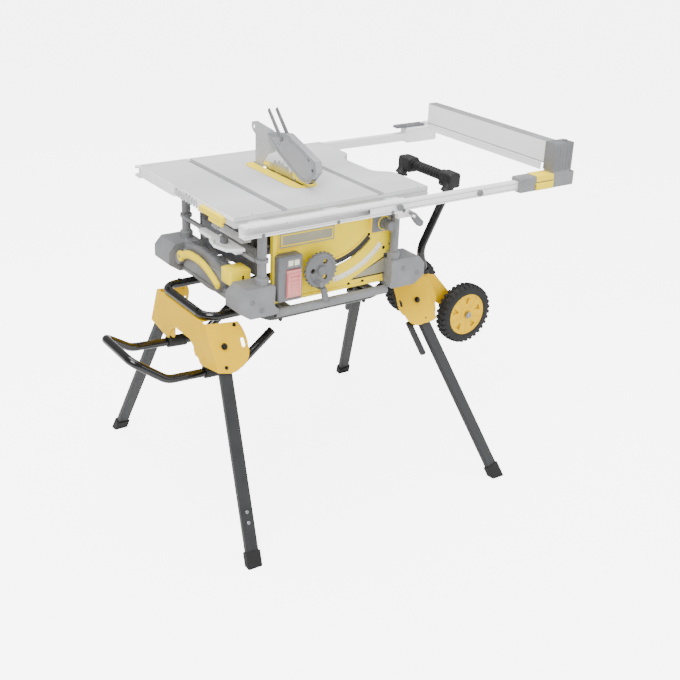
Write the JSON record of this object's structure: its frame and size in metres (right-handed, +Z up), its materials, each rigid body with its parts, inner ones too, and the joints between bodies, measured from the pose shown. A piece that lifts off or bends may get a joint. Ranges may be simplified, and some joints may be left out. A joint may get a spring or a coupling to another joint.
{
  "type": "table saw on folding rolling stand",
  "caption": "Portable table saw with extended rip fence on a folding rolling stand with splayed legs, transport wheels and tube handles.",
  "frame": {"origin": "on the floor, at the middle of the stand between the four feet", "axes": "+Z up; +X along the stand towards the wheels and the extended fence; -Y faces the operator"},
  "size_m": [1.4507, 0.9548, 1.1382],
  "materials": {
    "glossy_black": "gloss",
    "leg_paint": "satin",
    "foot_paint": "satin",
    "yellow_paint": "gloss",
    "yellow_plastic": "satin",
    "grey_plastic": "matte",
    "black_plastic": "matte",
    "boot_rubber": "matte",
    "tyre_rubber": "matte",
    "zinc": "satin",
    "table_alu": "satin",
    "rail_alu": "satin",
    "blade_steel": "satin",
    "guard_plastic": "gloss",
    "red_plastic": "gloss",
    "cast_metal": "cast"
  },
  "bodies": {
    "frame": {"frame_hoop": "glossy_black", "left_bracket": "yellow_paint", "right_bracket": "yellow_paint", "lift_handle": "glossy_black", "lift_handle_sockets": "black_plastic", "leg_pivot_bolts": "zinc", "wheel_axle": "zinc", "axle_arms": "yellow_paint", "transport_handle": "glossy_black", "handle_grip": "black_plastic", "saw_mount_pads": "black_plastic", "cage_base": "grey_plastic", "cage_posts": "grey_plastic", "corner_mouldings": "grey_plastic", "front_panel": "yellow_plastic", "saw_casing": "grey_plastic", "table_top": "table_alu", "throat_plate": "yellow_plastic", "switch_box": "black_plastic", "rail_guides": "rail_alu", "push_stick": "yellow_plastic", "side_storage": "grey_plastic", "mitre_gauge": "rail_alu", "apron_clip": "yellow_plastic"},
    "leg_left_front": {"left_front_leg": "leg_paint"},
    "levelling_foot": {"left_front_foot_tube": "foot_paint", "left_front_boot": "boot_rubber"},
    "leg_left_rear": {"left_rear_leg": "leg_paint", "left_rear_boot": "boot_rubber"},
    "leg_right_front": {"right_front_leg": "leg_paint", "right_front_boot": "boot_rubber"},
    "leg_right_rear": {"right_rear_leg": "leg_paint", "right_rear_boot": "boot_rubber"},
    "lock_right_front": {"right_front_lock_lever": "leg_paint"},
    "lock_right_rear": {"right_rear_lock_lever": "leg_paint"},
    "wheel_front": {"front_tyre": "tyre_rubber", "front_wheel_hub": "yellow_plastic"},
    "wheel_rear": {"rear_tyre": "tyre_rubber", "rear_wheel_hub": "yellow_plastic"},
    "fence_unit": {"telescoping_rails": "rail_alu", "fence_body": "rail_alu", "fence_front_head": "grey_plastic", "fence_rear_head": "grey_plastic"},
    "front_latch": {"fence_front_latch": "yellow_plastic"},
    "rear_latch": {"fence_rear_latch": "yellow_plastic"},
    "narrow_strip": {"flip_support": "rail_alu"},
    "rail_lock": {"rail_lock_lever": "grey_plastic"},
    "rip_knob": {"rip_adjust_knob": "black_plastic"},
    "tilt_carriage": {"tilt_frame": "cast_metal"},
    "drive_unit": {"gear_case": "cast_metal", "motor": "black_plastic", "riving_knife": "zinc"},
    "saw_blade": {"blade": "blade_steel", "arbor": "zinc"},
    "guard": {"guard_shell": "guard_plastic"},
    "arm_left": {"guard_arm_left": "zinc"},
    "arm_right": {"guard_arm_right": "zinc"},
    "crank": {"hand_wheel": "black_plastic"},
    "bevel_lock": {"bevel_lock_lever": "black_plastic"},
    "stop_paddle": {"switch_paddle": "red_plastic"}
  },
  "joints": [
    {"name": "left_front_leg_fold", "type": "hinge", "parent": "frame", "child": "leg_left_front", "pos_m": [-0.395, -0.185, 0.552], "axis": [0, -0.8829, 0.4695], "range_deg": [0, 90]},
    {"name": "left_rear_leg_fold", "type": "hinge", "parent": "frame", "child": "leg_left_rear", "pos_m": [-0.395, 0.185, 0.552], "axis": [0, -0.8829, -0.4695], "range_deg": [0, 90]},
    {"name": "right_front_leg_fold", "type": "hinge", "parent": "frame", "child": "leg_right_front", "pos_m": [0.313, -0.158, 0.544], "axis": [0, 0.8746, -0.4848], "range_deg": [0, 102]},
    {"name": "right_rear_leg_fold", "type": "hinge", "parent": "frame", "child": "leg_right_rear", "pos_m": [0.313, 0.158, 0.544], "axis": [0, 0.8746, 0.4848], "range_deg": [0, 102]},
    {"name": "levelling_foot_slide", "type": "slide", "parent": "leg_left_front", "child": "levelling_foot", "axis": [-0.0941, -0.4674, -0.879], "range_m": [0, 0.025]},
    {"name": "right_front_lock", "type": "hinge", "parent": "leg_right_front", "child": "lock_right_front", "pos_m": [0.2865, -0.1719, 0.4736], "axis": [0, 0.8746, -0.4848], "range_deg": [0, 30]},
    {"name": "right_rear_lock", "type": "hinge", "parent": "leg_right_rear", "child": "lock_right_rear", "pos_m": [0.2865, 0.1719, 0.4736], "axis": [0, 0.8746, 0.4848], "range_deg": [0, 30]},
    {"name": "front_wheel_spin", "type": "hinge", "parent": "frame", "child": "wheel_front", "pos_m": [0.53, -0.1425, 0.451], "axis": [0, 1, 0], "continuous": true},
    {"name": "rear_wheel_spin", "type": "hinge", "parent": "frame", "child": "wheel_rear", "pos_m": [0.53, 0.1425, 0.451], "axis": [0, 1, 0], "continuous": true},
    {"name": "fence_rail_slide", "type": "slide", "parent": "frame", "child": "fence_unit", "axis": [1, 0, 0], "range_m": [-0.42, 0]},
    {"name": "rip_knob_turn", "type": "hinge", "parent": "frame", "child": "rip_knob", "pos_m": [0.124, -0.225, 0.848], "axis": [0, 1, 0], "range_deg": [-2010, 0]},
    {"name": "rail_lock_turn", "type": "hinge", "parent": "frame", "child": "rail_lock", "pos_m": [0.168, -0.289, 0.885], "axis": [0, 1, 0], "range_deg": [0, 60]},
    {"name": "front_latch_turn", "type": "hinge", "parent": "fence_unit", "child": "front_latch", "pos_m": [0.674, -0.3035, 0.919], "axis": [-1, 0, 0], "range_deg": [0, 50]},
    {"name": "rear_latch_turn", "type": "hinge", "parent": "fence_unit", "child": "rear_latch", "pos_m": [0.716, 0.377, 0.9545], "axis": [0, 1, 0], "range_deg": [0, 60]},
    {"name": "narrow_strip_flip", "type": "hinge", "parent": "fence_unit", "child": "narrow_strip", "pos_m": [0.7258, 0.051, 0.9574], "axis": [0, 1, 0], "range_deg": [0, 90]},
    {"name": "bevel_tilt", "type": "hinge", "parent": "frame", "child": "tilt_carriage", "pos_m": [-0.062, 0, 0.945], "axis": [0, -1, 0], "range_deg": [0, 45]},
    {"name": "blade_height", "type": "slide", "parent": "tilt_carriage", "child": "drive_unit", "axis": [0, 0, 1], "range_m": [-0.075, 0]},
    {"name": "blade_spin", "type": "hinge", "parent": "drive_unit", "child": "saw_blade", "pos_m": [-0.062, 0.066, 0.8617], "axis": [1, 0, 0], "continuous": true},
    {"name": "guard_lift", "type": "hinge", "parent": "drive_unit", "child": "guard", "pos_m": [-0.062, 0.112, 1.05], "axis": [-1, 0, 0], "range_deg": [0, 28.2]},
    {"name": "guard_arm_left_swing", "type": "hinge", "parent": "guard", "child": "arm_left", "pos_m": [-0.0752, 0.044, 1.062], "axis": [-1, 0, 0], "range_deg": [0, 40]},
    {"name": "guard_arm_right_swing", "type": "hinge", "parent": "guard", "child": "arm_right", "pos_m": [-0.0488, 0.044, 1.062], "axis": [-1, 0, 0], "range_deg": [0, 40]},
    {"name": "height_crank_turn", "type": "hinge", "parent": "tilt_carriage", "child": "crank", "pos_m": [-0.101, -0.226, 0.745], "axis": [0, 1, 0], "range_deg": [-1801, 0]},
    {"name": "bevel_lock_turn", "type": "hinge", "parent": "tilt_carriage", "child": "bevel_lock", "pos_m": [-0.101, -0.202, 0.745], "axis": [0, 1, 0], "range_deg": [0, 30]},
    {"name": "stop_paddle_press", "type": "hinge", "parent": "frame", "child": "stop_paddle", "pos_m": [-0.191, -0.213, 0.762], "axis": [1, 0, 0], "range_deg": [0, 2.5], "stiffness_Nm_per_rad": 1}
  ],
  "couplings": [
    {"joint": "rip_knob_turn", "follows": "fence_rail_slide", "rad_per_m": 83.333},
    {"joint": "height_crank_turn", "follows": "blade_height", "rad_per_m": 418.88},
    {"joint": "guard_lift", "follows": "blade_height", "rad_per_m": -6.516}
  ]
}
